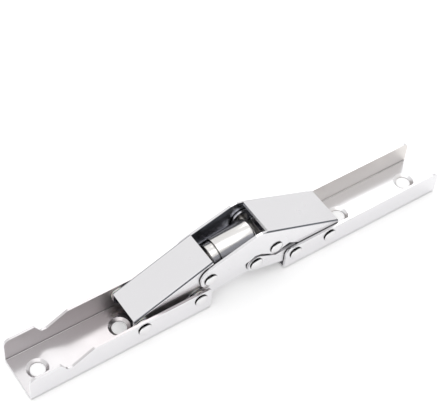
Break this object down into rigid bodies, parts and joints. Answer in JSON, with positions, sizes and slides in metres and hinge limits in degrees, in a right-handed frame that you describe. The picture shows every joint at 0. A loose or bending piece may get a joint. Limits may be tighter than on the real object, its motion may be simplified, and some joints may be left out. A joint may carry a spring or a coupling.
{
  "type": "concealed folding hinge",
  "caption": "Concealed folding cabinet hinge: two sheet-metal channels joined by riveted links and a spring strut, opened flat.",
  "frame": {"origin": "midway between the two channels' mouths, on the mounting plane, in the middle of the width", "axes": "+X along the channels towards the cabinet side, +Z away from the mounting faces, Y across the channels along the pivots"},
  "size_m": [0.186, 0.0222, 0.0287],
  "materials": {
    "plated_sheet": "satin nickel plate on pressed sheet steel",
    "polished_tube": "drawn tube, bright nickel plate",
    "rivet_steel": "nickel plated, upset heads",
    "turned_steel": "turned",
    "spring_steel": "oiled wire",
    "washer_nylon": "moulded nylon"
  },
  "bodies": {
    "cabinet_side": {"cabinet_channel": "plated_sheet", "short_link_rivets": "rivet_steel", "long_arm_rivets": "rivet_steel"},
    "long_arm": {"long_arm": "plated_sheet", "arm_joint_rivets": "rivet_steel", "arm_tip_rivets": "rivet_steel"},
    "short_links": {"short_link_near": "plated_sheet", "short_link_far": "plated_sheet", "short_link_tip_rivets": "rivet_steel"},
    "cross_link": {"cross_link": "plated_sheet", "strut_cross_pin": "rivet_steel"},
    "door_side": {"door_channel": "plated_sheet", "cross_link_pin": "rivet_steel", "cross_link_sleeve": "turned_steel", "cross_link_washers": "washer_nylon", "door_link_rivets": "rivet_steel", "door_link_washers": "washer_nylon"},
    "door_link": {"door_link": "plated_sheet"},
    "strut_barrel": {"strut_tube": "polished_tube", "strut_plug": "turned_steel", "strut_spring": "spring_steel"},
    "strut_plunger": {"strut_plunger": "polished_tube", "plunger_eye": "turned_steel"}
  },
  "joints": [
    {"name": "arm_fold", "type": "hinge", "parent": "cabinet_side", "child": "long_arm", "pos_m": [0.0382, 0, 0.0072], "axis": [0, 1, 0], "range_deg": [0, 58.93]},
    {"name": "short_link_swing", "type": "hinge", "parent": "cabinet_side", "child": "short_links", "pos_m": [0.0218, 0, 0.0072], "axis": [0, 1, 0], "range_deg": [0, 96.97]},
    {"name": "cross_link_swing", "type": "hinge", "parent": "long_arm", "child": "cross_link", "pos_m": [0.0124, 0, 0.0157], "axis": [0, 1, 0], "range_deg": [-99.91, 0]},
    {"name": "door_swing", "type": "hinge", "parent": "cross_link", "child": "door_side", "pos_m": [-0.0218, 0, 0.0081], "axis": [0, 1, 0], "range_deg": [0, 130.98]},
    {"name": "door_link_swing", "type": "hinge", "parent": "long_arm", "child": "door_link", "pos_m": [-0.0173, 0, 0.0161], "axis": [0, 1, 0], "range_deg": [-122.21, 0]},
    {"name": "strut_swing", "type": "hinge", "parent": "cross_link", "child": "strut_barrel", "pos_m": [0.007, 0, 0.0197], "axis": [0, 1, 0], "range_deg": [0, 121.84]},
    {"name": "plunger_slide", "type": "slide", "parent": "strut_barrel", "child": "strut_plunger", "axis": [-0.9892, 0, -0.1465], "range_m": [0, 0.00288]}
  ],
  "couplings": [
    {"joint": "short_link_swing", "follows": "arm_fold", "ratio": 1.6455},
    {"joint": "cross_link_swing", "follows": "arm_fold", "ratio": -1.6953},
    {"joint": "door_swing", "follows": "arm_fold", "ratio": 2.2226},
    {"joint": "door_link_swing", "follows": "arm_fold", "ratio": -2.0737},
    {"joint": "strut_swing", "follows": "arm_fold", "ratio": 2.0674},
    {"joint": "plunger_slide", "follows": "arm_fold", "m_per_rad": 0.002802}
  ]
}
